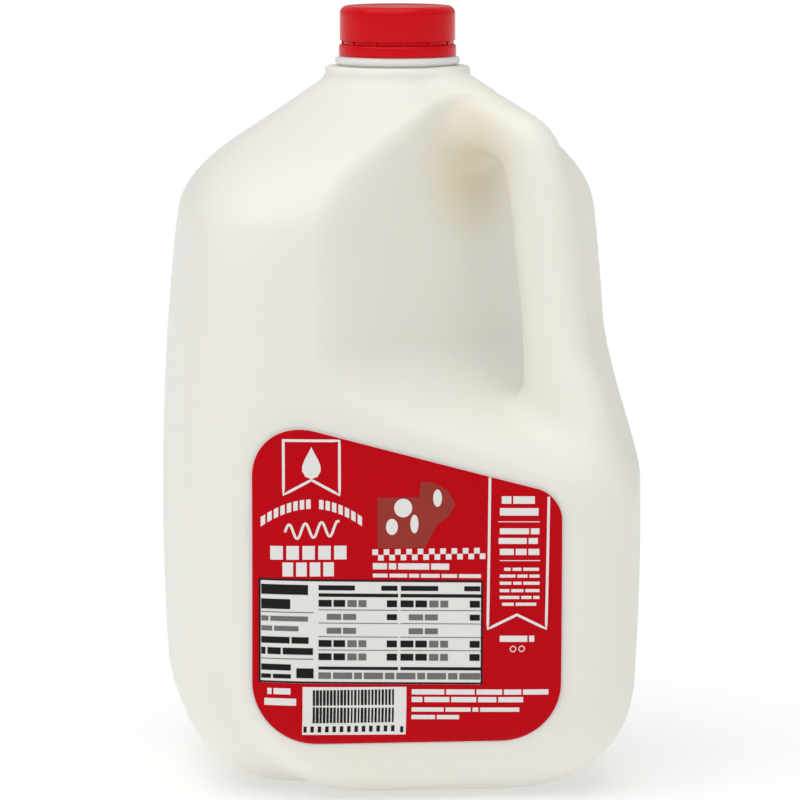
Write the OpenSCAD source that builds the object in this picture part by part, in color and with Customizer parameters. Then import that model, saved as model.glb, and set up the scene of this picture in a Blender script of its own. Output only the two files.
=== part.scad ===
/* [Body] */
// Half width of the jug across its flats, at its widest
half_w = 76.2; // [70:0.2:84]
// Height at which the jug is widest
wide_z = 89; // [70:1:110]
// How slowly the walls draw in above and below the widest height
wall_bow = 42; // [36:1:60]
// How square the body is in plan: 2 is a circle, 10 is nearly a box
body_square = 4.6; // [3:0.1:8]
// How square the foot is in plan
foot_square = 6.2; // [3:0.1:10]
// Height where the straight wall starts to taper in to the foot
taper_z = 34; // [28:1:50]
// Millimetres that the wall tapers in for each millimetre below that
taper_rate = 0.11; // [0:0.005:0.2]
// Radius of the rounding between the wall and the foot
foot_r = 31; // [15:1:34]

/* [Foot] */
// Height of the hollow under the middle of the jug
hollow_h = 6; // [2:0.5:10]
// How far the two plain corners of the foot are scooped in
scoop_d = 18; // [5:1:26]
// Height at which the scoop starts
scoop_z = 50; // [36:1:60]
// Angle that each scoop covers to either side of its corner, at the foot
scoop_a = 14; // [8:1:20]

/* [Shoulder] */
// Height of the top of the shoulder, where the neck starts
neck_z = 231; // [215:1:260]
// Radius of the neck's lower step
neck_r = 23.8; // [20:0.2:28]
// Millimetres that the shoulder spreads for each millimetre of height
shoulder_spread = 1.42; // [1.2:0.01:1.8]
// Softness of the bend between the shoulder and the wall
shoulder_soft = 17; // [6:1:24]
// Height below the neck over which the round neck turns square
turn_h = 60; // [40:1:80]

/* [Handle pocket] */
// Distance of the pocket's flat wall from the middle of the jug
pocket_r = 29.5; // [27:0.5:36]
// Lean of that wall: millimetres outward for each millimetre downward
pocket_lean = 0.04; // [0:0.01:0.1]
// Height at which the sloping ledge under the pocket would meet the jug's axis
ledge_z = 149; // [125:1:155]
// Fall of that ledge towards the handle, for each millimetre outward
ledge_fall = 0.4; // [0.3:0.01:0.5]
// Softness of the hollow bend between the pocket wall and the ledge
ledge_soft = 28; // [20:1:40]
// Softness of the outer edges of the pocket
edge_soft = 18; // [8:1:20]

/* [Handle] */
// Distance of the grip from the middle of the jug, at mid height
grip_r = 61.8; // [58:0.2:68]
// Outward lean of the grip, in millimetres for each millimetre downward
grip_lean = 0.135; // [0.1:0.005:0.2]
// Half thickness of the grip from front to back
grip_t = 10.6; // [8:0.2:12]
// Half thickness of the grip from side to side
grip_w = 8.8; // [7:0.2:11]

/* [Neck and cap] */
// Height of the lower step of the neck
step_h = 3.6; // [2:0.2:5]
// Radius of the collar under the tamper ring
collar_r = 20.6; // [19:0.2:22]
// Height of that collar
collar_h = 3.2; // [2:0.2:5]
// Radius of the spout inside the ring and the cap
spout_r = 16.6; // [14:0.2:17.4]
// Outer radius of the tamper ring
ring_r = 19.3; // [18.6:0.1:20]
// Height of the tamper ring
ring_h = 3.9; // [3:0.1:5]
// Gap between the ring and the spout that it sits round
ring_gap = 0.2; // [0.1:0.05:0.4]
// Outer radius of the cap
cap_r = 19; // [18:0.1:20]
// Height of the cap above the tamper ring
cap_h = 12.6; // [8:0.2:16]
// Radius of the rounding at the cap's top edge
cap_edge = 2.6; // [1:0.1:4]
// Depth of the groove between the cap and the ring
groove_d = 0.9; // [0.4:0.1:1.5]
// Height of that groove
groove_h = 1; // [0.5:0.1:2]

/* [Label] */
// Left edge of the label, measured from the middle of the front
label_left = -54; // [-62:1:-40]
// Right edge of the label
label_right = 45; // [30:1:56]
// Height of the label's bottom edge
label_bottom = 21.5; // [12:0.5:40]
// Height of the label's top edge at its left end
label_top_left = 128; // [100:1:130]
// Fall of the top edge for each millimetre to the right
label_slope = 0.27; // [0:0.01:0.3]
// Radii of the corners: bottom left, bottom right, top right, top left
label_corners = [21, 19, 8, 20];
// Thickness of the label
label_t = 0.3; // [0.2:0.05:0.6]
// Clearance between the label and the true curve of the wall
label_gap = 0.3; // [0.1:0.05:0.4]

/* [Hidden] */

// The handle stands over the corner at -45 degrees; the scooped corners are the two beside it.
handle_a = -45;
scoop_corners = [45, 225];
turns = 56;
foot_rings = 7;
ring_step = 6.5;
fine_step = 4.2;

// Grip's line: [distance from the axis, height, half thickness, half width] down the handle.
root_z = neck_z - 6.5;
bend_z = root_z - 24;
grip_z = 178;
function grip_at(z) = grip_r + grip_lean * (grip_z - z);
stations = [
    [neck_r + 1, root_z, 7.5, grip_w],
    [neck_r + 13, root_z - 5, 8, grip_w],
    [neck_r + 21, root_z - 9, 8.4, grip_w],
    [grip_at(bend_z) - 5, bend_z + 9, 0.94 * grip_t, grip_w],
    [grip_at(bend_z) - 1, bend_z, grip_t, grip_w],
    [grip_at(bend_z - 11), bend_z - 11, grip_t, grip_w],
    [grip_at(grip_z), grip_z, grip_t, grip_w],
    [grip_at(158), 158, grip_t + 0.2, grip_w],
    [grip_at(143), 143, grip_t + 1.2, grip_w + 0.4],
    [grip_at(131) + 0.6, 131, grip_t + 4.2, grip_w + 1.2],
    [grip_at(120) + 1, 120, grip_t + 6, grip_w + 2],
    [grip_at(109) + 2, 109, grip_t + 6, grip_w + 3],
    [grip_at(97) + 2, 97, grip_t + 5, grip_w + 3]];
steps_per_station = 2;
grip_sides = 20;

collar_z = neck_z + step_h;
ring_z = collar_z + collar_h;
cap_z = ring_z + ring_h;
cap_top = cap_z + cap_h;

// Smooth minimum and maximum: a corner between two curves, rounded over the width k.
function soft_min(a, b, k) = let (h = max(k - abs(a - b), 0) / k) min(a, b) - h * h * k / 4;
function soft_max(a, b, k) = -soft_min(-a, -b, k);
function ease(t) = let (c = max(0, min(1, t))) c * c * (3 - 2 * c);

// Half width of the body at height z: a bowed wall, its taper and foot rounding, and the shoulder's slope.
function wall_at(z) =
    let (f = max(0, foot_r - z),
         w = half_w - pow((z - wide_z) / wall_bow, 2) - taper_rate * max(0, taper_z - z)
             - (foot_r - sqrt(max(0, foot_r * foot_r - f * f))))
    soft_min(w, neck_r + (neck_z - z) * shoulder_spread, shoulder_soft);

// Squareness of the section at height z, from the foot's to the body's and down to a circle at the neck.
function square_at(z) =
    z < taper_z ? foot_square + (body_square - foot_square) * ease(z / taper_z)
                : 2 + (body_square - 2) * ease((neck_z - z) / turn_h);

// Angle between direction a and the nearest scooped corner.
function off_scoop(a) = min([for (s = scoop_corners) abs(((a - s + 540) % 360) - 180)]);
function scoop_at(a, z) =
    let (c = max(0, 1 - z / scoop_z), w = scoop_a * (0.2 + 0.8 * pow(c, 1.6)))
    scoop_d * pow(c, 1.2) * exp(-pow(off_scoop(a) / w, 2));

// Distance from the axis to the plain rounded-square body, in direction a at height z.
function plain_r(a, z) =
    let (n = square_at(z))
    wall_at(z) / pow(pow(abs(cos(a)), n) + pow(abs(sin(a)), n), 1 / n);

// Distance to the pocket's wall and ledge.
function pocket_at(a, z) =
    soft_max(pocket_r + pocket_lean * (root_z - z), (ledge_z - z) / ledge_fall, ledge_soft)
    / max(0.12, cos(a - handle_a));

// Distance to the finished skin: plain body, less the pocket and the scoops.
function edge_at(z) = edge_soft * ease((neck_z - 2 - z) / 30) + 0.5;
function skin_r(a, z) = soft_min(plain_r(a, z), pocket_at(a, z), edge_at(z)) - scoop_at(a, z);

function on_skin(a, z) = [skin_r(a, z) * cos(a), skin_r(a, z) * sin(a), z];

// Levels of the skin's rings: close together round the foot, the ledge and the shoulder.
foot_levels = [for (i = [0 : foot_rings - 1]) foot_r * (1 - cos(90 * i / foot_rings))];
wall_levels = [for (z = [foot_r : ring_step : ledge_z - 14]) z];
ledge_levels = [for (z = [ledge_z - 10 : fine_step : ledge_z + 14]) z];
pocket_levels = [for (z = [ledge_z + 18 : ring_step : neck_z - 48]) z];
shoulder_levels = [for (z = [neck_z - 44 : fine_step : neck_z - 1]) z];
levels = concat(foot_levels, wall_levels, ledge_levels, pocket_levels, shoulder_levels, [neck_z + 0.8]);

// A ring is level at the foot and the shoulder, and lies along the ledge's slope at the ledge.
function tilt(z) =
    max(0, min(1, (z - foot_r) / (ledge_z - 8 - foot_r), (neck_z - 40 - z) / (neck_z - 52 - ledge_z)));
function on_ring(a, level) =
    on_skin(a, level - tilt(level) * ledge_fall * plain_r(a, level) * cos(a - handle_a));

// Rings under the foot, each a share of the foot's outline, rising to the hollow in the middle.
hollow_shares = [0.12, 0.4, 0.66, 0.86];
function hollow_at(s) = hollow_h * (1 - ease((s - 0.35) / 0.6));

module body_skin() {
    angles = [for (i = [0 : turns - 1]) 360 * i / turns];
    under = [for (s = hollow_shares) for (a = angles)
        let (r = s * (plain_r(a, 0) - pow(s, 4) * scoop_at(a, 0)))
        [r * cos(a), r * sin(a), hollow_at(s)]];
    skin = [for (level = levels) for (a = angles) on_ring(a, level)];
    rings = len(hollow_shares) + len(levels);
    points = concat(under, skin);
    sides = [for (r = [0 : rings - 2]) for (i = [0 : turns - 1])
        let (j = (i + 1) % turns, p = r * turns, q = p + turns)
        each [[p + i, q + i, q + j], [p + i, q + j, p + j]]];
    bottom = [[for (i = [0 : turns - 1]) i]];
    top = [[for (i = [turns - 1 : -1 : 0]) (rings - 1) * turns + i]];
    polyhedron(points, concat(bottom, sides, top), convexity = 6);
}

// Curve through the handle's stations.
function through(a, b, c, d, t) =
    0.5 * (2 * b + (c - a) * t + (2 * a - 5 * b + 4 * c - d) * t * t + (3 * b - a - 3 * c + d) * t * t * t);
last = len(stations) - 1;
line = [for (i = [0 : last - 1]) for (t = [0 : steps_per_station - 1])
    through(stations[max(0, i - 1)], stations[i], stations[i + 1], stations[min(last, i + 2)],
            t / steps_per_station)];

// One slice of the grip, square to its line.
module grip_slice(i) {
    here = line[i];
    ahead = line[min(len(line) - 1, i + 1)];
    behind = line[max(0, i - 1)];
    lean = atan2(ahead[0] - behind[0], -(ahead[1] - behind[1]));
    rotate([0, 0, handle_a]) translate([here[0], 0, here[1]]) rotate([0, -lean, 0])
        linear_extrude(0.6, center = true) scale([here[2], here[3]]) circle(1, $fn = grip_sides);
}

module handle() {
    for (i = [0 : len(line) - 2]) hull() {
        grip_slice(i);
        grip_slice(i + 1);
    }
}

module neck() {
    rotate_extrude($fn = 52) polygon([
        [0, neck_z - 2], [neck_r, neck_z - 2], [neck_r, collar_z - 1], [neck_r - 1.5, collar_z],
        [collar_r - 1, collar_z], [collar_r, collar_z + 1],
        [collar_r, ring_z - 0.6], [collar_r - 0.6, ring_z],
        [spout_r, ring_z], [spout_r, cap_z], [0, cap_z]]);
}

module jug() {
    color("ivory") union() {
        body_skin();
        handle();
        neck();
    }
}

module tamper_ring() {
    color("crimson") rotate_extrude($fn = 96) polygon([
        [spout_r + ring_gap, ring_z], [ring_r, ring_z], [ring_r, cap_z - 0.5], [ring_r - 0.5, cap_z],
        [spout_r + ring_gap, cap_z]]);
}

module cap() {
    color("crimson") rotate_extrude($fn = 96) polygon(concat(
        [[0, cap_z], [cap_r - groove_d, cap_z], [cap_r - groove_d, cap_z + groove_h],
         [cap_r, cap_z + groove_h + 0.3]],
        [for (a = [0 : 15 : 90])
            [cap_r - cap_edge + cap_edge * cos(a), cap_top - cap_edge + cap_edge * sin(a)]],
        [[0, cap_top]]));
}

// The label's outline: lowest and highest point at distance u from the middle of the front.
function top_line(u) = label_top_left - label_slope * (u - label_left);
function corner(u, edge, r) = let (d = max(0, r - abs(u - edge))) r - sqrt(max(0, r * r - d * d));
function label_low(u) =
    label_bottom + corner(u, label_left, label_corners[0]) + corner(u, label_right, label_corners[1]);
function label_high(u) =
    top_line(u) - corner(u, label_left, label_corners[3]) - corner(u, label_right, label_corners[2]);

// The point of the front wall at u, z: the direction is found by closing in on u.
function front_a(u, z, a, tries) =
    tries == 0 ? a : front_a(u, z, atan2(-sqrt(max(1, pow(skin_r(a, z), 2) - u * u)), u), tries - 1);
function on_front(u, z, lift) =
    let (a = front_a(u, z, -90, 6), r = skin_r(a, z) + lift / max(0.5, abs(sin(a))))
    [r * cos(a), r * sin(a), z];

label_cols = 18;
label_rows = 12;
module label() {
    // Columns gather towards both ends, where the corners are round.
    us = [for (i = [0 : label_cols]) let (t = (1 - cos(180 * i / label_cols)) / 2)
        label_left + t * (label_right - label_left)];
    sheet = function (lift) [for (u = us) for (j = [0 : label_rows])
        on_front(u, label_low(u) + (label_high(u) - label_low(u)) * j / label_rows, lift)];
    points = concat(sheet(label_gap), sheet(label_gap + label_t));
    n = label_rows + 1;
    half = n * (label_cols + 1);
    quad = function (a, b, c, d) [[a, c, b], [a, d, c]];
    faces = [
        for (i = [0 : label_cols - 1]) for (j = [0 : label_rows - 1])
            let (p = i * n + j)
            each concat(quad(p, p + 1, p + n + 1, p + n),
                        quad(half + p, half + p + n, half + p + n + 1, half + p + 1)),
        for (i = [0 : label_cols - 1])
            let (p = i * n, q = p + label_rows)
            each concat(quad(p, p + n, half + p + n, half + p), quad(q + n, q, half + q, half + q + n)),
        for (j = [0 : label_rows - 1])
            let (p = j, q = label_cols * n + j)
            each concat(quad(p + 1, p, half + p, half + p + 1), quad(q, q + 1, half + q + 1, half + q))];
    color("firebrick") polyhedron(points, faces, convexity = 4);
}

jug();
tamper_ring();
cap();
label();
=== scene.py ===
# A full, shut one-gallon milk jug: blow-moulded body with a through handle, red screw cap and a
# red film label. Everything is built in millimetres round the CAD frame and stored in metres.
import math

import bpy
import numpy as np
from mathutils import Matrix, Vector


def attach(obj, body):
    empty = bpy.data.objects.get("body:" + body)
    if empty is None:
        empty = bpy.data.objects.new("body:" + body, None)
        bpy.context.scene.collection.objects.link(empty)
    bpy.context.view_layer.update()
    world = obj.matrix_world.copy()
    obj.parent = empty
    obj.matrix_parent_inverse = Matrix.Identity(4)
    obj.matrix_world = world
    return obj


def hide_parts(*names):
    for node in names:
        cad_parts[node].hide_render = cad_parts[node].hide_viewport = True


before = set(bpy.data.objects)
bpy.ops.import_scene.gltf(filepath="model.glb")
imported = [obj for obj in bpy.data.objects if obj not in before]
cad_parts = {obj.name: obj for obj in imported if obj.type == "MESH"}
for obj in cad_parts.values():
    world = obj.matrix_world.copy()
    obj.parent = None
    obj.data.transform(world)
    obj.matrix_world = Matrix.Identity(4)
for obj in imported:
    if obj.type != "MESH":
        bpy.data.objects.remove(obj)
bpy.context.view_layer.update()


# ---------------------------------------------------------------------------------------------
# The jug: one blown skin of translucent cream polyethylene with milk right behind it. The corner
# pocket and the tube of the handle come from the mould, so they flow into the body with no joint.
half_w, wide_z, wall_bow = 76.2, 89.0, 42.0
body_square, foot_square = 4.6, 6.2
taper_z, taper_rate, foot_r = 34.0, 0.11, 31.0
hollow_h = 6.0
scoop_d, scoop_z, scoop_a = 18.0, 50.0, 14.0
neck_z, neck_r = 231.0, 23.8
shoulder_spread, shoulder_soft, turn_h = 1.42, 17.0, 60.0
pocket_r, pocket_lean = 29.5, 0.04
ledge_z, ledge_fall, ledge_soft, edge_soft = 153.5, 0.5, 24.0, 18.0
handle_a = math.radians(-45)
scoop_corners = (45.0, 225.0)
grip_r, grip_lean, grip_t, grip_w = 61.8, 0.135, 10.4, 8.8
root_z = neck_z - 6.5
bend_z = root_z - 24
grip_z = 178.0
step_h, collar_r, collar_h, spout_r = 3.6, 20.6, 3.2, 16.6
panel_depth, panel_soft, panel_round = 0.7, 5.0, 24.0

# How softly the handle flows into the body: everywhere, more at its foot, and more under its root.
grip_blend, foot_blend, arch_blend = 8.0, 3.0, 12.0


def soft_min(a, b, k):
    h = np.maximum(k - np.abs(a - b), 0) / k
    return np.minimum(a, b) - h * h * k / 4


def soft_max(a, b, k):
    return -soft_min(-a, -b, k)


def ease(t):
    c = np.clip(t, 0, 1)
    return c * c * (3 - 2 * c)


def wall_at(z):
    """Half width of the body at height z: bowed wall, foot rounding, and the shoulder's slope."""
    f = np.clip(foot_r - z, 0, foot_r)
    w = half_w - ((z - wide_z) / wall_bow) ** 2 - taper_rate * np.maximum(0, taper_z - z)
    w = w - (foot_r - np.sqrt(foot_r**2 - f * f))
    return soft_min(w, neck_r + (neck_z - z) * shoulder_spread, shoulder_soft)


def plain_r(a, z):
    """Distance from the axis to the rounded-square body, in direction a at height z."""
    upper = 2 + (body_square - 2) * ease((neck_z - z) / turn_h)
    lower = foot_square + (body_square - foot_square) * ease(z / taper_z)
    n = np.where(z < taper_z, lower, upper)
    return wall_at(z) / (np.abs(np.cos(a)) ** n + np.abs(np.sin(a)) ** n) ** (1 / n)


def scoop_at(a, z):
    """Depth of the scoop that lifts the two plain corners of the foot."""
    c = np.clip(1 - z / scoop_z, 0, 1)
    width = scoop_a * (0.2 + 0.8 * c**1.6)
    off = np.minimum(*[np.abs((np.degrees(a) - s + 540) % 360 - 180) for s in scoop_corners])
    return scoop_d * c**1.2 * np.exp(-((off / width) ** 2))


def pocket_at(a, z):
    wall = pocket_r + pocket_lean * (root_z - z)
    return soft_max(wall, (ledge_z - z) / ledge_fall, ledge_soft) / np.maximum(0.12, np.cos(a - handle_a))


def skin_r(a, z):
    """Distance from the axis to the moulded skin: body, less the pocket and the scoops."""
    fade = edge_soft * ease((neck_z - 2 - z) / 30) + 0.5
    return soft_min(plain_r(a, z), pocket_at(a, z), fade) - scoop_at(a, z)


# The label's outline on the front wall, and the shallow panel round it that the mould leaves.
label_left, label_right, label_bottom = -54.0, 45.0, 21.5
label_top_left, label_slope = 128.0, 0.27
label_corners = {"low left": 21.0, "low right": 19.0, "top right": 8.0, "top left": 20.0}


def top_line(u):
    return label_top_left - label_slope * (u - label_left)


def panel_at(x, y, z):
    """Share of the panel's depth at a point of the front wall: 1 inside it, 0 outside."""
    gap = soft_max(label_left - 3.5 - x, x - label_right - 4.5, panel_round)
    gap = soft_max(gap, label_bottom - 7 - z, panel_round)
    gap = soft_max(gap, (z - top_line(x) - 6) * 0.965, panel_round)
    return ease(0.5 - gap / panel_soft) * (y < 0)


# The grip's line: distance from the axis, height, half thickness, half width, down the handle.
def grip_at(z):
    return grip_r + grip_lean * (grip_z - z)


stations = np.array([
    (neck_r + 1, root_z, 7.5, grip_w),
    (neck_r + 13, root_z - 5, 8, grip_w),
    (neck_r + 21, root_z - 9, 8.4, grip_w),
    (grip_at(bend_z) - 5, bend_z + 9, 0.94 * grip_t, grip_w),
    (grip_at(bend_z) - 1, bend_z, grip_t, grip_w),
    (grip_at(bend_z - 11), bend_z - 11, grip_t, grip_w),
    (grip_at(grip_z), grip_z, grip_t, grip_w),
    (grip_at(158), 158, grip_t + 0.2, grip_w),
    (grip_at(143), 143, grip_t + 1.2, grip_w + 0.4),
    (grip_at(131) + 0.6, 131, grip_t + 4.2, grip_w + 1.2),
    (grip_at(120) + 1, 120, grip_t + 6, grip_w + 2),
    (grip_at(109) + 2, 109, grip_t + 6, grip_w + 3),
    (grip_at(97) + 2, 97, grip_t + 5, grip_w + 3),
])
steps = np.linspace(0, 1, 5, endpoint=False)[:, None]
grip_line = []
for i in range(len(stations) - 1):
    a, b, c, d = (stations[min(max(j, 0), len(stations) - 1)] for j in range(i - 1, i + 3))
    grip_line.append(0.5 * (2 * b + (c - a) * steps + (2 * a - 5 * b + 4 * c - d) * steps**2
                            + (3 * b - a - 3 * c + d) * steps**3))
grip_line = np.concatenate(grip_line + [stations[-1:]])


def grip_gap(x, y, z):
    """Distance outside the handle's tube, an oval swept along the grip's line."""
    along = (x - y) / math.sqrt(2)
    side = (x + y) / math.sqrt(2)
    gap = np.full(x.shape, 60.0)
    near = (along > neck_r - 12) & (z > 70)
    p, q, s = along[near], z[near], side[near]
    best = np.full(p.shape, 1e9)
    thick, wide = np.ones(p.shape), np.ones(p.shape)
    for a, b in zip(grip_line[:-1], grip_line[1:]):
        run = b[:2] - a[:2]
        t = np.clip(((p - a[0]) * run[0] + (q - a[1]) * run[1]) / (run @ run), 0, 1)
        off = (p - a[0] - t * run[0]) ** 2 + (q - a[1] - t * run[1]) ** 2
        closer = off < best
        best = np.where(closer, off, best)
        thick = np.where(closer, a[2] + t * (b[2] - a[2]), thick)
        wide = np.where(closer, a[3] + t * (b[3] - a[3]), wide)
    oval = ((np.sqrt(best) / thick) ** 2.2 + (np.abs(s) / wide) ** 2.2) ** (1 / 2.2)
    gap[near] = (oval - 1) * np.sqrt(best + s * s) / np.maximum(oval, 0.05)
    return gap


def jug_gap(x, y, z):
    """Distance outside the jug's skin, near enough for a mesh to be drawn on its zero."""
    r, a = np.hypot(x, y), np.arctan2(y, x)
    reach = skin_r(a, z)
    rise = (skin_r(a, z + 0.4) - reach) / 0.4
    turn = (skin_r(a + 0.01, z) - reach) / 0.01 / np.maximum(r, 8)
    side = (r - reach + panel_depth * panel_at(x, y, z)) / np.sqrt(1 + rise**2 + turn**2)
    share = r / np.maximum(skin_r(a, 0 * z), 1)
    under = hollow_h * (1 - ease((share - 0.35) / 0.6)) - z
    arch = ease((z - 188) / 18) * ease((226 - z) / 16)
    body = soft_min(soft_max(side, under, 2), grip_gap(x, y, z),
                    grip_blend + foot_blend * ease((150 - z) / 30) + arch_blend * arch)
    step_gap = np.maximum(soft_max(r - neck_r, z - neck_z - step_h, 1.0), neck_z - 12 - z)
    return np.maximum(soft_min(body, step_gap, 1.4), z - neck_z - 6)


def mesh_on(gap, low, high, step):
    """Closed mesh of four-sided faces on gap = 0: a point in each grid cell the surface crosses."""
    axes = [np.arange(a, b + step, step) for a, b in zip(low, high)]
    value = gap(*np.meshgrid(*axes, indexing="ij"))
    cells = tuple(n - 1 for n in value.shape)
    total, hits = np.zeros((*cells, 3)), np.zeros(cells)
    index = np.indices(cells)
    crossings = []
    for axis in range(3):
        lo = [slice(None)] * 3
        hi = [slice(None)] * 3
        lo[axis], hi[axis] = slice(None, -1), slice(1, None)
        a, b = value[tuple(lo)], value[tuple(hi)]
        cross = (a < 0) != (b < 0)
        share = np.where(cross, a / np.where(cross, a - b, 1), 0)
        crossings.append((cross, a < 0))
        u, v = (axis + 1) % 3, (axis + 2) % 3
        for du in (0, 1):
            for dv in (0, 1):
                part = [slice(None)] * 3
                part[u] = slice(du, du + cells[u])
                part[v] = slice(dv, dv + cells[v])
                here, t = cross[tuple(part)], share[tuple(part)]
                hits += here
                total[..., axis] += np.where(here, index[axis] + t, 0)
                total[..., u] += np.where(here, index[u] + du, 0)
                total[..., v] += np.where(here, index[v] + dv, 0)
    used = hits > 0
    number = np.full(cells, -1)
    number[used] = np.arange(used.sum())
    points = total[used] / hits[used][:, None] * step + np.array(low)
    faces = []
    for axis, (cross, inside) in enumerate(crossings):
        u, v = (axis + 1) % 3, (axis + 2) % 3
        at = np.argwhere(cross)
        outward = inside[cross]
        corner = []
        for du, dv in ((1, 1), (0, 1), (0, 0), (1, 0)):
            cell = at.copy()
            cell[:, u] -= du
            cell[:, v] -= dv
            corner.append(number[tuple(cell.T)])
        quad = np.stack(corner, 1)
        faces.append(np.where(outward[:, None], quad, quad[:, ::-1]))
    return points, np.concatenate(faces)


def slope_of(gap, p, h=0.05):
    shifts = np.eye(3) * h
    return np.stack([(gap(*(p + s).T) - gap(*(p - s).T)) / (2 * h) for s in shifts], 1)


def settle(gap, p, rounds=4):
    """Moves points onto gap = 0."""
    for _ in range(rounds):
        g = slope_of(gap, p)
        p = p - g * (gap(*p.T) / np.maximum((g * g).sum(1), 0.05))[:, None]
    return p


def piece(name, points, faces, smooth=True):
    """A mesh object from points in millimetres."""
    mesh = bpy.data.meshes.new(name)
    mesh.from_pydata((np.asarray(points) / 1000).tolist(), [], [list(map(int, f)) for f in faces])
    mesh.validate()
    if smooth:
        mesh.shade_smooth()
    obj = bpy.data.objects.new(name, mesh)
    bpy.context.scene.collection.objects.link(obj)
    return obj


def turned(profile, sides=144):
    """Rings of a closed turned shape: profile runs from the axis at the bottom to the axis on top."""
    angle = np.arange(sides) * 2 * math.pi / sides
    inner = profile[1:-1]
    points = [(0, 0, profile[0][1]), (0, 0, profile[-1][1])]
    points += [(r * math.cos(t), r * math.sin(t), z) for r, z in inner for t in angle]
    faces = []
    for k in range(sides):
        n = (k + 1) % sides
        faces.append((0, 2 + n, 2 + k))
        last = 2 + (len(inner) - 1) * sides
        faces.append((1, last + k, last + n))
        for j in range(len(inner) - 1):
            p, q = 2 + j * sides, 2 + (j + 1) * sides
            faces.append((p + k, p + n, q + n, q + k))
    return points, faces


def rounded(profile, radius, cuts=4):
    """The profile with each inner corner rounded, up to half of its shorter side."""
    out = [profile[0]]
    for before, here, after in zip(profile, profile[1:], profile[2:]):
        a, b, c = map(np.array, (before, here, after))
        r = min(radius, np.linalg.norm(a - b) * 0.45, np.linalg.norm(c - b) * 0.45)
        p = b + (a - b) / np.linalg.norm(a - b) * r
        q = b + (c - b) / np.linalg.norm(c - b) * r
        for t in np.linspace(0, 1, cuts + 1):
            out.append(tuple((1 - t) ** 2 * p + 2 * t * (1 - t) * b + t * t * q))
    return out + [profile[-1]]


jug_step = 1.6
jug_low, jug_high = (-81, -81, -4), (81, 81, 241)
jug_points, jug_faces = mesh_on(jug_gap, jug_low, jug_high, jug_step)
jug_points = settle(jug_gap, jug_points)

# The neck above the body's own lower step: a waist and the collar that the ring sits on.
spout_h = 3.9
collar_z = neck_z + step_h
ring_z = collar_z + collar_h
neck_profile = [
    (0, neck_z), (collar_r - 1.4, neck_z), (collar_r - 1, collar_z - 0.6),
    (collar_r - 0.9, collar_z + 0.1), (collar_r - 0.8, collar_z + 0.7),
    (collar_r, collar_z + 1.1), (collar_r, ring_z - 0.8), (collar_r - 1.2, ring_z),
    (spout_r, ring_z), (spout_r, ring_z + spout_h), (0, ring_z + spout_h)]
neck_points, neck_faces = turned(rounded(neck_profile, 0.6))
shift = len(jug_points)
jug = piece("jug_body", np.concatenate([jug_points, np.array(neck_points)]),
            [*jug_faces, *[tuple(i + shift for i in f) for f in neck_faces]])


class Shader:
    """Short way to build a material's nodes: shader.new("ShaderNodeX", socket=value_or_output)."""

    def __init__(self, name):
        self.mat = bpy.data.materials.new(name)
        self.mat.use_nodes = True
        self.nodes, self.links = self.mat.node_tree.nodes, self.mat.node_tree.links
        self.nodes.clear()
        self.place = self.new("ShaderNodeTexCoord").outputs["Object"]

    def new(self, kind, options=None, **sockets):
        node = self.nodes.new(kind)
        for key, value in (options or {}).items():
            setattr(node, key, value)
        for key, value in sockets.items():
            socket = node.inputs[int(key[1:]) if key[0] == "i" and key[1:].isdigit()
                                 else key.replace("_", " ")]
            if isinstance(value, bpy.types.NodeSocket):
                self.links.new(value, socket)
            else:
                socket.default_value = value
        return node

    def noise(self, scale, detail=2.0, **more):
        return self.new("ShaderNodeTexNoise", Vector=self.place, Scale=scale, Detail=detail, **more)

    def blend(self, share, low, high):
        """Colour between two, by share."""
        node = self.new("ShaderNodeMix", {"data_type": "RGBA"})
        self.links.new(share, node.inputs["Factor"])
        node.inputs[6].default_value, node.inputs[7].default_value = (*low, 1), (*high, 1)
        return node.outputs[2]

    def warm(self, share, low, high):
        """From an earlier colour towards a plain one, by share."""
        node = self.new("ShaderNodeMix", {"data_type": "RGBA"})
        self.links.new(share, node.inputs["Factor"])
        self.links.new(low, node.inputs[6])
        node.inputs[7].default_value = (*high, 1)
        return node.outputs[2]

    def sum(self, operation, a, b):
        return self.new("ShaderNodeMath", {"operation": operation}, i0=a, i1=b).outputs[0]

    def finish(self, **sockets):
        surface = self.new("ShaderNodeBsdfPrincipled", **sockets)
        self.new("ShaderNodeOutputMaterial", Surface=surface.outputs[0])
        return self.mat


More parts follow.
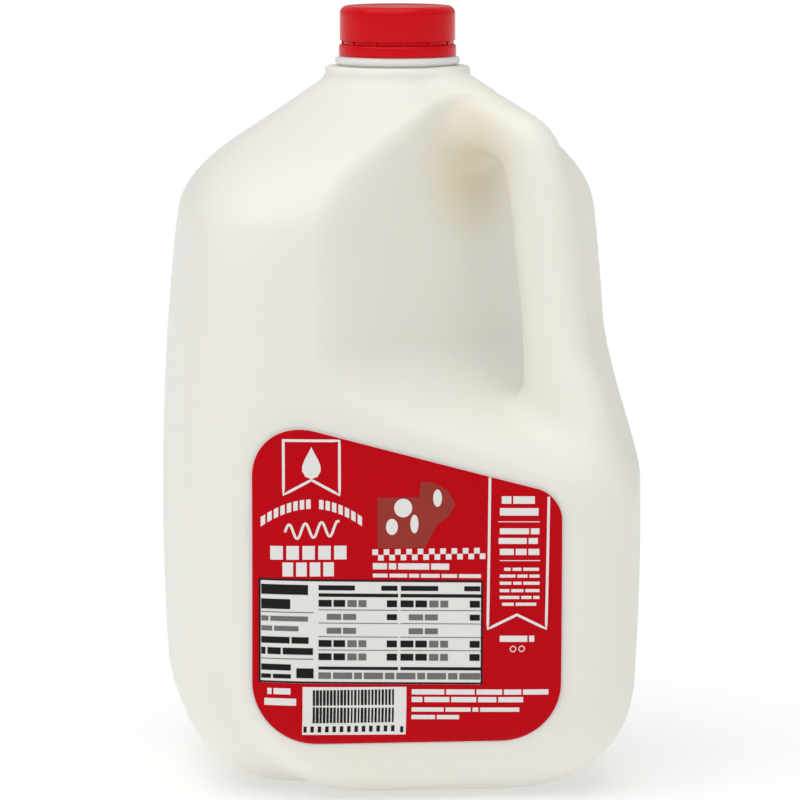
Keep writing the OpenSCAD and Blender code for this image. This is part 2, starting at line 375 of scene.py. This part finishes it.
def jug_plastic():
    """Cream translucent polyethylene: soft light through the skin, faint mottling, and a skin that
    ripples very slightly where it froze against the mould. A warm tan painted shade darkens it where
    the handle's root meets the pocket, where shade falls. A fine bead down the handle's back marks the
    mould's joint."""
    s = Shader("jug_plastic")
    cloud = s.noise(14.0, 3.0, Roughness=0.55).outputs[0]
    colour = s.blend(cloud, (0.865, 0.85, 0.775), (0.885, 0.872, 0.805))
    # Painted shade: the colour turns a darker warm tan towards the handle's root at the top of the pocket,
    # where shade falls under the root.
    painted_shade_spot = (0.023, -0.023, 0.204)
    root = s.new("ShaderNodeVectorMath", {"operation": "DISTANCE"}, i0=s.place,
                 i1=painted_shade_spot).outputs["Value"]
    thick = s.new("ShaderNodeMapRange", {"interpolation_type": "SMOOTHSTEP"}, Value=root,
                  From_Min=0.004, From_Max=0.033, To_Min=0.8, To_Max=0.0).outputs[0]
    colour = s.warm(thick, colour, (0.80, 0.72, 0.53))
    grain = s.noise(900.0, 3.0).outputs[0]
    ripple = s.noise(45.0, 2.0).outputs[0]
    split = s.new("ShaderNodeSeparateXYZ", Vector=s.place)
    off = s.sum("ABSOLUTE", s.sum("ADD", split.outputs[0], split.outputs[1]), 0.0)
    bead = s.new("ShaderNodeMapRange", {"interpolation_type": "SMOOTHSTEP"}, Value=off,
                 From_Min=0.0, From_Max=0.0009, To_Min=1.0, To_Max=0.0).outputs[0]
    height = s.sum("ADD", s.sum("MULTIPLY", grain, 0.12), s.sum("MULTIPLY", ripple, 0.6))
    out = s.new("ShaderNodeMapRange", Value=s.sum("SUBTRACT", split.outputs[0], split.outputs[1]),
                From_Min=0.062, From_Max=0.072, To_Min=0.0, To_Max=0.45).outputs[0]
    height = s.sum("ADD", height, s.sum("MULTIPLY", bead, out))
    bump = s.new("ShaderNodeBump", Strength=0.35, Distance=0.0004, Height=height)
    rough = s.new("ShaderNodeMapRange", Value=cloud, To_Min=0.38, To_Max=0.46).outputs[0]
    return s.finish(Base_Color=colour, Roughness=rough, Normal=bump.outputs[0], IOR=1.5,
                    Specular_IOR_Level=0.3, Subsurface_Weight=0.65,
                    Subsurface_Radius=(1.0, 0.85, 0.6), Subsurface_Scale=0.006)


jug.data.materials.append(jug_plastic())
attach(jug, "root")
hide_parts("jug")


# ---------------------------------------------------------------------------------------------
# The tamper ring: a thin band of the cap's own plastic that stays on the neck, sitting on the
# collar. Small bridges join it to the cap until the cap is first turned.
cap_z = ring_z + spout_h
ring_r, ring_gap = 19.3, 0.2
ring_profile = [(spout_r + ring_gap, ring_z + 0.02), (ring_r - 0.2, ring_z + 0.02), (ring_r, ring_z + 0.5),
                (ring_r, cap_z - 0.6), (ring_r - 0.5, cap_z - 0.04), (spout_r + ring_gap, cap_z - 0.04)]
closed = [(0, 0)] + rounded([ring_profile[-1], *ring_profile, ring_profile[0]], 0.3)[1:-1] + [(0, 0)]


def hoop(profile, sides=144):
    """A closed ring: the profile doesn't touch the axis."""
    angle = np.arange(sides) * 2 * math.pi / sides
    points = [(r * math.cos(t), r * math.sin(t), z) for r, z in profile for t in angle]
    faces = []
    for j in range(len(profile)):
        for k in range(sides):
            n, m = (k + 1) % sides, (j + 1) % len(profile)
            faces.append((j * sides + k, j * sides + n, m * sides + n, m * sides + k))
    return points, faces


ring = piece("tamper_band", *hoop(closed[1:-1]))


def cap_plastic():
    """Glossy red moulded plastic with a trace of flow marks and fine wear."""
    s = Shader("cap_plastic")
    flow = s.noise(60.0, 3.0).outputs[0]
    colour = s.blend(flow, (0.64, 0.001, 0.006), (0.69, 0.0015, 0.007))
    fine = s.noise(700.0, 3.0).outputs[0]
    bump = s.new("ShaderNodeBump", Strength=0.2, Distance=0.0002, Height=fine)
    rough = s.new("ShaderNodeMapRange", Value=flow, To_Min=0.2, To_Max=0.32).outputs[0]
    return s.finish(Base_Color=colour, Roughness=rough, Normal=bump.outputs[0], IOR=1.5,
                    Specular_IOR_Level=0.14, Subsurface_Weight=0.08,
                    Subsurface_Radius=(1.0, 0.1, 0.1), Subsurface_Scale=0.002)


cap_finish = cap_plastic()
ring.data.materials.append(cap_finish)
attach(ring, "root")
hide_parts("tamper_ring")


# ---------------------------------------------------------------------------------------------
# The cap: a plain smooth shell with a soft top edge, screwed down until its foot meets the ring.
# The groove between them is crossed by the bridges, which Geometry Nodes sets round the circle.
cap_r, cap_h, cap_edge, groove_d, groove_h = 19.0, 12.6, 2.6, 0.9, 1.0
cap_top = cap_z + cap_h
edge = [(cap_r - cap_edge + cap_edge * math.cos(math.radians(t)),
         cap_top - cap_edge + cap_edge * math.sin(math.radians(t))) for t in range(0, 91, 9)]
foot = rounded([(0, cap_z), (cap_r - groove_d, cap_z), (cap_r - groove_d, cap_z + groove_h),
                (cap_r, cap_z + groove_h + 0.3), edge[0]], 0.25)
dish = [(cap_r - cap_edge - 2.2, cap_top), (cap_r - cap_edge - 3.0, cap_top - 0.25), (0, cap_top - 0.3)]
cap = piece("cap_shell", *turned(foot[:-1] + edge + dish))
cap.data.materials.append(cap_finish)
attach(cap, "root")
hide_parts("cap")


class Tree:
    """A Geometry Nodes tree with named number inputs, baked into a plain mesh."""

    def __init__(self, name, **inputs):
        self.group = bpy.data.node_groups.new(name, "GeometryNodeTree")
        self.group.interface.new_socket("Geometry", in_out="OUTPUT", socket_type="NodeSocketGeometry")
        self.sockets = {}
        for key, value in inputs.items():
            kind = "NodeSocketInt" if isinstance(value, int) else "NodeSocketFloat"
            self.sockets[key] = self.group.interface.new_socket(key, in_out="INPUT", socket_type=kind)
        self.values = inputs
        self.input = self.group.nodes.new("NodeGroupInput")

    def new(self, kind, options=None, **sockets):
        node = self.group.nodes.new(kind)
        for key, value in (options or {}).items():
            setattr(node, key, value)
        for key, value in sockets.items():
            socket = node.inputs[int(key[1:]) if key[0] == "i" and key[1:].isdigit()
                                 else key.replace("_", " ")]
            if isinstance(value, str):
                value = self.input.outputs[value]
            if isinstance(value, bpy.types.NodeSocket):
                self.group.links.new(value, socket)
            else:
                socket.default_value = value
        return node

    def bake(self, geometry, material, name):
        real = self.new("GeometryNodeRealizeInstances", Geometry=geometry)
        dressed = self.new("GeometryNodeSetMaterial", Geometry=real.outputs[0], Material=material)
        out = self.group.nodes.new("NodeGroupOutput")
        self.group.links.new(dressed.outputs[0], out.inputs[0])
        obj = bpy.data.objects.new(name, bpy.data.meshes.new(name))
        bpy.context.scene.collection.objects.link(obj)
        modifier = obj.modifiers.new(name, "NODES")
        modifier.node_group = self.group
        for key, value in self.values.items():
            modifier[self.sockets[key].identifier] = value
        plain = bpy.data.meshes.new_from_object(obj.evaluated_get(bpy.context.evaluated_depsgraph_get()))
        obj.modifiers.remove(modifier)
        obj.data = plain
        return obj


def bridges():
    t = Tree("cap_bridges", Count=12, Radius=(cap_r - groove_d) / 1000, Height=(cap_z + 0.4) / 1000,
             Width=0.0012, Depth=0.0008, Rise=0.0014)
    circle = t.new("GeometryNodeMeshCircle", Vertices="Count", Radius="Radius")
    raised = t.new("ShaderNodeCombineXYZ", Z="Height")
    spots = t.new("GeometryNodeTransform", Geometry=circle.outputs[0], Translation=raised.outputs[0])
    size = t.new("ShaderNodeCombineXYZ", X="Depth", Y="Width", Z="Rise")
    block = t.new("GeometryNodeMeshCube", Size=size.outputs[0])
    place = t.new("GeometryNodeInputPosition")
    split = t.new("ShaderNodeSeparateXYZ", Vector=place.outputs[0])
    turn = t.new("ShaderNodeMath", {"operation": "ARCTAN2"}, i0=split.outputs[1], i1=split.outputs[0])
    spin = t.new("ShaderNodeCombineXYZ", Z=turn.outputs[0])
    row = t.new("GeometryNodeInstanceOnPoints", Points=spots.outputs[0], Instance=block.outputs[0],
                Rotation=spin.outputs[0])
    return t.bake(row.outputs[0], cap_finish, "cap_bridges")


cap_bridges = bridges()
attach(cap_bridges, "root")


# ---------------------------------------------------------------------------------------------
# The label: printed film wrapped on the front wall in its shallow panel. A hair of the clear film
# shows pale round the ink's edge.
def on_wall(u, z, lift):
    """The point of the front wall at distance u from its middle and height z, lifted off it."""
    u, z = np.asarray(u, float), np.asarray(z, float)
    a = np.full(u.shape, -math.pi / 2)
    for _ in range(10):
        reach = skin_r(a, z) - panel_depth * panel_at(u, -1, z)
        a = np.arctan2(-np.sqrt(np.maximum(1, reach**2 - u * u)), u)
    reach = skin_r(a, z) - panel_depth * panel_at(u, -1, z)
    point = settle(jug_gap, np.stack([reach * np.cos(a), reach * np.sin(a), z], -1), 2)
    slope = slope_of(jug_gap, point)
    return point + slope / np.linalg.norm(slope, axis=-1, keepdims=True) * np.reshape(lift, (-1, 1))


def corner_cut(u, edge, r):
    d = np.maximum(0, r - np.abs(u - edge))
    return r - np.sqrt(np.maximum(0, r * r - d * d))


def sheet(name, low, high, left, right, lift, thick, material, columns=110, rows=90):
    """A closed thin sheet on the wall between two edge lines."""
    t = (1 - np.cos(np.linspace(0, math.pi, columns))) / 2
    u = (left + t * (right - left))[:, None] + np.zeros(rows)
    share = np.linspace(0, 1, rows)
    z = low(u) + (high(u) - low(u)) * share
    front = on_wall(u.ravel(), z.ravel(), lift + thick)
    back = on_wall(u.ravel(), z.ravel(), lift)
    number = np.arange(columns * rows).reshape(columns, rows)
    quad = np.stack([number[:-1, :-1], number[1:, :-1], number[1:, 1:], number[:-1, 1:]], -1).reshape(-1, 4)
    rim = np.concatenate([number[:, 0], number[-1, 1:], number[-2::-1, -1], number[0, -2:0:-1]])
    far = np.roll(rim, -1)
    half = columns * rows
    faces = np.concatenate([quad, quad[:, ::-1] + half, np.stack([far, rim, rim + half, far + half], 1)])
    obj = piece(name, np.concatenate([front, back]), faces)
    obj.data.materials.append(material)
    return obj


def label_edges(grow):
    c = {key: r + grow for key, r in label_corners.items()}
    left, right = label_left - grow, label_right + grow

    def low(u):
        return (label_bottom - grow + corner_cut(u, left, c["low left"])
                + corner_cut(u, right, c["low right"]))

    def high(u):
        return (top_line(u) + grow - corner_cut(u, left, c["top left"])
                - corner_cut(u, right, c["top right"]))

    return low, high, left, right


def film(name, colour_a, colour_b, roughness, scale):
    """Printed film: a flat ink with a trace of mottle under a satin varnish."""
    s = Shader(name)
    colour = s.blend(s.noise(scale, 4.0).outputs[0], colour_a, colour_b)
    bump = s.new("ShaderNodeBump", Strength=0.15, Distance=0.0002,
                 Height=s.noise(320.0, 2.0).outputs[0])
    return s.finish(Base_Color=colour, Roughness=roughness, Normal=bump.outputs[0],
                    Specular_IOR_Level=0.06)


red_ink = film("label_red", (0.50, 0.0008, 0.006), (0.56, 0.0012, 0.008), 0.42, 90.0)
white_ink = film("label_white", (0.80, 0.79, 0.77), (0.84, 0.83, 0.81), 0.45, 200.0)
black_ink = film("label_black", (0.012, 0.011, 0.011), (0.02, 0.018, 0.018), 0.45, 200.0)
grey_ink = film("label_grey", (0.16, 0.155, 0.15), (0.2, 0.195, 0.19), 0.45, 200.0)
brown_ink = film("label_brown", (0.30, 0.035, 0.028), (0.36, 0.05, 0.038), 0.45, 120.0)
film_edge = film("label_film", (0.72, 0.60, 0.58), (0.78, 0.68, 0.66), 0.35, 200.0)

edges = label_edges(0.45)
label_base = sheet("label_film", *edges[:2], *edges[2:], 0.10, 0.08, film_edge)
edges = label_edges(0.0)
label = sheet("label_ink", *edges[:2], *edges[2:], 0.12, 0.13, red_ink)
for obj in (label_base, label):
    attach(obj, "root")
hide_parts("label")


# ---------------------------------------------------------------------------------------------
# The print: white and black inks on the red. Every word of a real label stands here as plain
# blocks and bars, and its picture as a bare patched field. Each piece of ink is a thin closed slab.
def slab(outline_grid, low, high):
    """Points and faces of a slab from a grid of (u, z) points, wrapped on the wall."""
    g = np.asarray(outline_grid, float)
    rows, columns = g.shape[:2]
    u, z = g[..., 0].ravel(), g[..., 1].ravel()
    points = np.concatenate([on_wall(u, z, high), on_wall(u, z, low)])
    number = np.arange(rows * columns).reshape(rows, columns)
    quad = np.stack([number[:-1, :-1], number[:-1, 1:], number[1:, 1:], number[1:, :-1]], -1).reshape(-1, 4)
    rim = np.concatenate([number[0, :], number[1:, -1], number[-1, -2::-1], number[-2:0:-1, 0]])
    far = np.roll(rim, -1)
    half = rows * columns
    return points, np.concatenate([quad, quad[:, ::-1] + half,
                                   np.stack([far, rim, rim + half, far + half], 1)])


class Ink:
    """Collects slabs of one ink at one height, then makes one piece of them."""

    def __init__(self, name, material, lift, thick=0.05):
        self.name, self.material, self.lift, self.thick = name, material, lift, thick
        self.grids = []

    def bar(self, left, right, low, high, tilt=0.0):
        """A box; tilt is its fall per millimetre to the right."""
        nu = max(2, int(abs(right - left) / 2.5) + 2)
        nz = max(2, int(abs(high - low) / 1.6) + 2)
        s, t = np.meshgrid(np.linspace(0, 1, nu), np.linspace(0, 1, nz))
        u = left + (right - left) * s
        z = low + (high - low) * t - tilt * (right - left) * (s - 0.5)
        self.grids.append(np.stack([u, z], -1))

    def stroke(self, line, width):
        """A band along a line of points."""
        p = np.array(line, float)
        dense = [p[0]]
        for a, b in zip(p[:-1], p[1:]):
            n = max(1, int(np.linalg.norm(b - a) / 1.8))
            dense += [a + (b - a) * k / n for k in range(1, n + 1)]
        p = np.array(dense)
        run = np.gradient(p, axis=0)
        run /= np.linalg.norm(run, axis=1)[:, None]
        side = np.stack([-run[:, 1], run[:, 0]], 1) * width / 2
        self.grids.append(np.stack([p - side, p + side], 0))

    def disc(self, u, z, ru, rz, sides=20):
        """A filled oval."""
        t = np.linspace(0, 2 * math.pi, sides + 1)
        self.grids.append(np.stack([np.stack([u + k * ru * np.cos(t), z + k * rz * np.sin(t)], -1)
                                    for k in (1.0, 0.02)], 0)[::-1])

    def hoop(self, u, z, r, width, sides=20):
        t = np.linspace(0, 2 * math.pi, sides + 1)
        self.grids.append(np.stack([np.stack([u + k * np.cos(t), z + k * np.sin(t)], -1)
                                    for k in (r - width / 2, r + width / 2)], 0)[::-1])

    def make(self):
        points, faces, count = [], [], 0
        for g in self.grids:
            p, f = slab(g, self.lift, self.lift + self.thick)
            points.append(p)
            faces += [tuple(int(i) + count for i in q) for q in f]
            count += len(p)
        obj = piece(self.name, np.concatenate(points), faces, smooth=False)
        obj.data.materials.append(self.material)
        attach(obj, "root")
        return obj


white = Ink("print_white", white_ink, 0.27)
field = Ink("print_field", brown_ink, 0.27)
patch = Ink("print_patches", white_ink, 0.33)
black = Ink("print_black", black_ink, 0.34)
grey = Ink("print_grey", grey_ink, 0.34)

tilt = 0.022


def words(ink, left, right, low, high, gaps, slope=tilt):
    """A line of print as word blocks: gaps lists the share of the line where each gap falls."""
    stops = [0.0, *gaps, 1.0]
    width = right - left
    for k, (a, b) in enumerate(zip(stops[:-1], stops[1:])):
        start = left + width * a + (0.45 if k else 0)
        fall = slope * (width * (a + b) / 2 - width / 2)
        ink.bar(start, left + width * b - 0.15, low - fall, high - fall, slope)


def letters(ink, left, right, low, high, count, share=0.78):
    """A bold word as upright blocks, one for each letter."""
    pitch = (right - left) / count
    for k in range(count):
        ink.bar(left + pitch * k, left + pitch * (k + share), low, high)


# Pennant with a notched tail, close under the label's top edge, with a plain drop in it.
white.stroke([(-44.2, 119.9), (-44.2, 102.6), (-35.4, 107.3), (-26.5, 102.4), (-26.5, 119.7),
              (-44.6, 119.9)], 0.85)
drop = [(0, 5.2), (1.1, 3.0), (2.2, 1.0), (2.9, -0.9), (2.9, -2.6), (1.9, -4.3), (0, -5.0)]
left_side = [(-35.4 - x, 112.6 + z) for x, z in drop]
right_side = [(-35.4 + x, 112.6 + z) for x, z in drop]
white.grids.append(np.array([right_side, left_side]))

# Arched line of small capitals, a flowing stroke, and two bold words.
for k in range(16):
    t = (k + 0.5) / 16
    if k == 8:
        continue
    u = -51.6 + 32.6 * t
    rise = 93.6 + 6.0 * (1 - ((t - 0.5) / 0.5) ** 2)
    slope = -(6.0 * 2 * ((t - 0.5) / 0.5) / 0.5) / 32.6
    white.bar(u - 0.75, u + 0.65, rise - 1.5, rise + 1.5, -slope)
wave = [(-43.8 + 17.2 * t, 90.6 + 2.4 * math.sin(t * 21) + 1.2 * t) for t in np.linspace(0, 1, 44)]
white.stroke(wave, 0.8)
letters(white, -48.4, -23.2, 81.8, 86.2, 5)
letters(white, -44.6, -27.4, 76.4, 80.9, 4)

# The bare patched field where a picture goes, and the two lines of print under the checks.
field.bar(-14.4, -1.0, 85.2, 101.4, 0.0)
field.grids.append(np.array([[(-1.0, 85.2), (1.0, 85.2), (4.6, 92.4), (8.4, 95.0), (10.6, 99.0),
                              (8.0, 103.4), (3.6, 106.0)],
                             [(-1.0, 86.2), (-1.0, 88.2), (-1.0, 92.4), (-1.0, 96.0), (-1.0, 100.0),
                              (-1.0, 103.2), (-0.4, 106.4)]]))
patch.disc(-6.2, 98.0, 2.9, 3.0)
patch.disc(-9.8, 92.0, 1.9, 2.6)
patch.disc(-2.6, 92.8, 1.3, 3.0)
patch.disc(4.8, 101.0, 1.4, 2.8)
words(white, -15.9, 8.7, 78.2, 80.2, (0.19, 0.31, 0.74))
words(white, -15.9, 18.9, 75.5, 76.7, (0.14, 0.32, 0.43, 0.62, 0.78))

# The facts table: a white panel in a black frame, ruled into three columns.
table_l, table_r, table_b, table_t = -52.0, 19.4, 41.3, 75.0


def table_z(u, z):
    return z - tilt * (u + 16)


white.bar(table_l, table_r, table_b, table_t, tilt)
for z in (table_b + 0.35, table_t - 0.25):
    black.bar(table_l, table_r, z - 0.3, z + 0.3, tilt)
for u in (table_l + 0.3, table_r - 0.3):
    fall = tilt * (u + 16.3)
    black.bar(u - 0.3, u + 0.3, table_b - fall, table_t - fall)


def rows_of(ink, spec):
    """Lines of print in the table: (left, right, low, high, gaps)."""
    for left, right, low, high, gaps in spec:
        middle = (left + right) / 2
        words(ink, left, right, table_z(middle, low), table_z(middle, high), gaps)


rows_of(black, [
    (-51.2, -36.4, 70.0, 73.2, ()), (-51.2, -42.0, 65.3, 68.5, ()),
    (-51.2, -36.2, 54.2, 56.3, (0.6,)), (-51.2, -34.8, 50.6, 52.8, (0.09, 0.38)),
    (-51.2, -41.8, 45.4, 47.4, ()), (-51.2, -41.8, 42.8, 44.2, (0.34,)), (-40.2, -34.6, 43.0, 46.2, ()),
    (-33.2, -21.5, 71.6, 73.2, ()), (-13.2, -7.9, 71.6, 73.2, ()),
    (-6.9, 5.2, 71.6, 73.2, ()), (13.4, 18.7, 71.6, 73.2, ()),
])
for left, right in ((-33.2, -7.8), (-7.0, 18.8)):
    for low, high in ((69.5, 70.6), (45.9, 46.9)):
        middle = (left + right) / 2
        black.bar(left, right, table_z(middle, low), table_z(middle, high), tilt)
lines = [(66.3, 68.5, 0.0), (62.1, 64.0, 2.6), (57.6, 59.5, 2.6), (53.3, 55.5, 0.0), (49.0, 51.2, 0.0)]
for left, right in ((-33.2, -7.8), (-7.0, 18.8)):
    for k, (low, high, indent) in enumerate(lines):
        bold = [(left, left + 8.6, low, high, (0.5,))] if indent == 0 else []
        thin = (left + (9.2 if indent == 0 else indent), left + (15.4 if indent == 0 else indent + 9.5))
        rows_of(grey, [(*thin, low, high, (0.5,))])
        rows_of(black, bold)
        if k != 2:
            rows_of(black, [(right - 3.6, right - 0.2, low, high, ())])
    for z in (65.3, 61.0, 56.6, 52.3):
        middle = (left + right) / 2
        grey.bar(left, right, table_z(middle, z) - 0.12, table_z(middle, z) + 0.12, tilt)
rows_of(grey, [(-51.2, -36.4, 61.4, 63.0, (0.16,)), (-51.2, -39.4, 58.2, 59.8, (0.3,)),
               (-33.2, 18.8, 42.9, 45.0, (0.08, 0.21, 0.27, 0.4, 0.47, 0.6, 0.66, 0.79, 0.86))])
for z in (64.3, 49.2):
    grey.bar(-51.2, -34.8, table_z(-43, z) - 0.14, table_z(-43, z) + 0.14, tilt)

# Below the table: volume lines, the white field for the bars, and the address lines.
words(white, -49.3, -41.9, 38.2, 40.2, (0.2,))
words(white, -50.2, -40.1, 34.6, 36.9, ())
white.bar(-38.2, -5.0, 24.6, 40.4, 0.012)
for k in range(12):
    black.bar(-35.6 + 2.35 * k, -34.5 + 2.35 * k, 25.6, 27.6)
black.bar(-37.8, -36.8, 25.6, 27.6)
black.bar(-6.8, -5.8, 25.2, 27.2)
words(white, -3.3, 41.0, 37.2, 38.9, (0.24, 0.46, 0.66, 0.8))
words(white, -3.3, 32.8, 34.8, 36.5, (0.1, 0.34, 0.58, 0.76))
words(white, -3.3, 31.6, 31.7, 33.1, (0.3, 0.55, 0.62))
words(white, -3.3, 12.2, 29.4, 30.8, (0.5,))

# Right-hand ribbon: two lines from the top edge to a notched foot, with its lines of print.
white.stroke([(21.6, top_line(21.6) - 0.2), (21.0, 58.6), (30.4, 63.0), (39.9, 58.2),
              (40.6, top_line(40.6) - 1.6)], 0.85)
for left, right, low, high, gaps in (
        (25.4, 36.2, 98.8, 101.2, (0.3,)), (24.8, 37.4, 95.0, 97.4, ()),
        (24.8, 37.7, 89.0, 90.9, (0.74,)), (24.4, 37.2, 85.9, 87.8, (0.72,)),
        (24.8, 37.7, 82.3, 84.3, (0.36, 0.68)), (26.2, 37.6, 77.2, 78.2, (0.2, 0.5)),
        (24.8, 37.8, 75.0, 76.0, (0.4, 0.7)), (24.8, 37.8, 72.7, 73.7, (0.3, 0.55)),
        (24.8, 37.8, 70.3, 71.3, (0.25, 0.6)), (24.8, 37.8, 68.1, 69.1, (0.5, 0.8)),
        (25.6, 36.8, 65.9, 66.9, (0.35,)), (24.9, 36.2, 54.2, 56.2, (0.8,))):
    words(white, left, right, low, high, gaps)
for z, left, right in ((93.0, 24.3, 37.7), (80.5, 24.8, 37.8)):
    white.bar(left, right, z - 0.13, z + 0.13, tilt)
for u in (29.2, 32.0):
    white.hoop(u, 51.9, 0.9, 0.3, 16)

for ink in (white, field, patch, black, grey):
    ink.make()


def wrap(obj, lift):
    """Lays a flat pattern, drawn in metres on the ground plane, onto the wall."""
    mesh = obj.data
    flat = np.array([v.co for v in mesh.vertices])
    bent = on_wall(flat[:, 0] * 1000, flat[:, 1] * 1000, lift + flat[:, 2] * 1000) / 1000
    mesh.vertices.foreach_set("co", bent.ravel())
    mesh.update()
    return obj


def checks():
    """Two rows of white squares, the second set one square along."""
    t = Tree("label_checks", Count=10, Pitch=0.00362, Side=0.00181, Thick=0.00005,
             Left=-0.01515, Top=0.08395)
    size = t.new("ShaderNodeCombineXYZ", X="Side", Y="Side", Z="Thick")
    square = t.new("GeometryNodeMeshCube", Size=size.outputs[0])
    joined = t.new("GeometryNodeJoinGeometry")
    for shift, drop in ((0.0, 0.0), (1.0, 1.0)):
        along = t.new("ShaderNodeMath", {"operation": "MULTIPLY_ADD"}, i0="Side", i1=shift, i2="Left")
        down = t.new("ShaderNodeMath", {"operation": "MULTIPLY_ADD"}, i0="Side", i1=-drop, i2="Top")
        start = t.new("ShaderNodeCombineXYZ", X=along.outputs[0], Y=down.outputs[0])
        stride = t.new("ShaderNodeCombineXYZ", X="Pitch")
        line = t.new("GeometryNodeMeshLine", Count="Count", Start_Location=start.outputs[0],
                     Offset=stride.outputs[0])
        row = t.new("GeometryNodeInstanceOnPoints", Points=line.outputs[0], Instance=square.outputs[0])
        t.group.links.new(row.outputs[0], joined.inputs[0])
    return t.bake(joined.outputs[0], white_ink, "label_checks")


def bars():
    """Upright bars of chance widths at an even pitch."""
    t = Tree("label_bars", Count=24, Pitch=0.0011, Low=0.0005, High=0.00095, Height=0.0108,
             Left=-0.0346, Middle=0.0341, Thick=0.00005, Seed=5)
    start = t.new("ShaderNodeCombineXYZ", X="Left", Y="Middle")
    stride = t.new("ShaderNodeCombineXYZ", X="Pitch")
    line = t.new("GeometryNodeMeshLine", Count="Count", Start_Location=start.outputs[0],
                 Offset=stride.outputs[0])
    one = t.new("GeometryNodeMeshCube", Vertices_Y=4)
    width = t.new("FunctionNodeRandomValue", {"data_type": "FLOAT"}, i2="Low", i3="High", Seed="Seed")
    scale = t.new("ShaderNodeCombineXYZ", X=width.outputs[1], Y="Height", Z="Thick")
    row = t.new("GeometryNodeInstanceOnPoints", Points=line.outputs[0], Instance=one.outputs[0],
                Scale=scale.outputs[0])
    return t.bake(row.outputs[0], black_ink, "label_bars")


for obj, lift in ((checks(), 0.30), (bars(), 0.37)):
    wrap(obj, lift)
    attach(obj, "root")


# ---------------------------------------------------------------------------------------------
# The studio: a near-white floor that lifts its own shadows, an even white sky, one very wide soft
# sun from above and the front left, and a long lens a little above the jug's cap.
floor_mesh = bpy.data.meshes.new("floor")
floor_mesh.from_pydata([(-40, -40, 0), (40, -40, 0), (40, 40, 0), (-40, 40, 0)], [], [(0, 1, 2, 3)])
floor = bpy.data.objects.new("floor", floor_mesh)
bpy.context.scene.collection.objects.link(floor)
s = Shader("floor_paper")
tone = s.blend(s.noise(0.8, 2.0).outputs[0], (0.69, 0.69, 0.69), (0.71, 0.71, 0.71))
floor_mesh.materials.append(s.finish(Base_Color=tone, Roughness=0.9, Specular_IOR_Level=0.1,
                                    Emission_Color=(1, 1, 1, 1), Emission_Strength=0.35))

world = bpy.data.worlds.new("studio")
bpy.context.scene.world = world
world.use_nodes = True
world.node_tree.nodes["Background"].inputs["Color"].default_value = (1.0, 1.0, 1.0, 1)
world.node_tree.nodes["Background"].inputs["Strength"].default_value = 0.42

sun = bpy.data.lights.new("soft_sun", "SUN")
sun.angle = math.radians(75)
sun.energy = 1.8
sun_lamp = bpy.data.objects.new("soft_sun", sun)
sun_lamp.rotation_euler = Vector((0.19, 0.28, -0.94)).to_track_quat("-Z", "Y").to_euler()
bpy.context.scene.collection.objects.link(sun_lamp)

bpy.context.scene.view_settings.view_transform = "Standard"
bpy.context.scene.view_settings.look = "None"

swing, away, eye_z, down, yaw = math.radians(6.03), 1.8, 0.3319, math.radians(6.595), math.radians(0.026)
camera = bpy.data.cameras.new("camera")
camera.sensor_width = 36
camera.lens = 36 * 3.0393 * away * 1000 / 800
view = bpy.data.objects.new("camera", camera)
view.location = (-away * math.sin(swing), -away * math.cos(swing), eye_z)
heading = swing + yaw
aim = Vector((math.sin(heading) * math.cos(down), math.cos(heading) * math.cos(down), -math.sin(down)))
view.rotation_euler = aim.to_track_quat("-Z", "Y").to_euler()
camera.clip_start, camera.clip_end = 0.05, 100
bpy.context.scene.collection.objects.link(view)
bpy.context.scene.camera = view
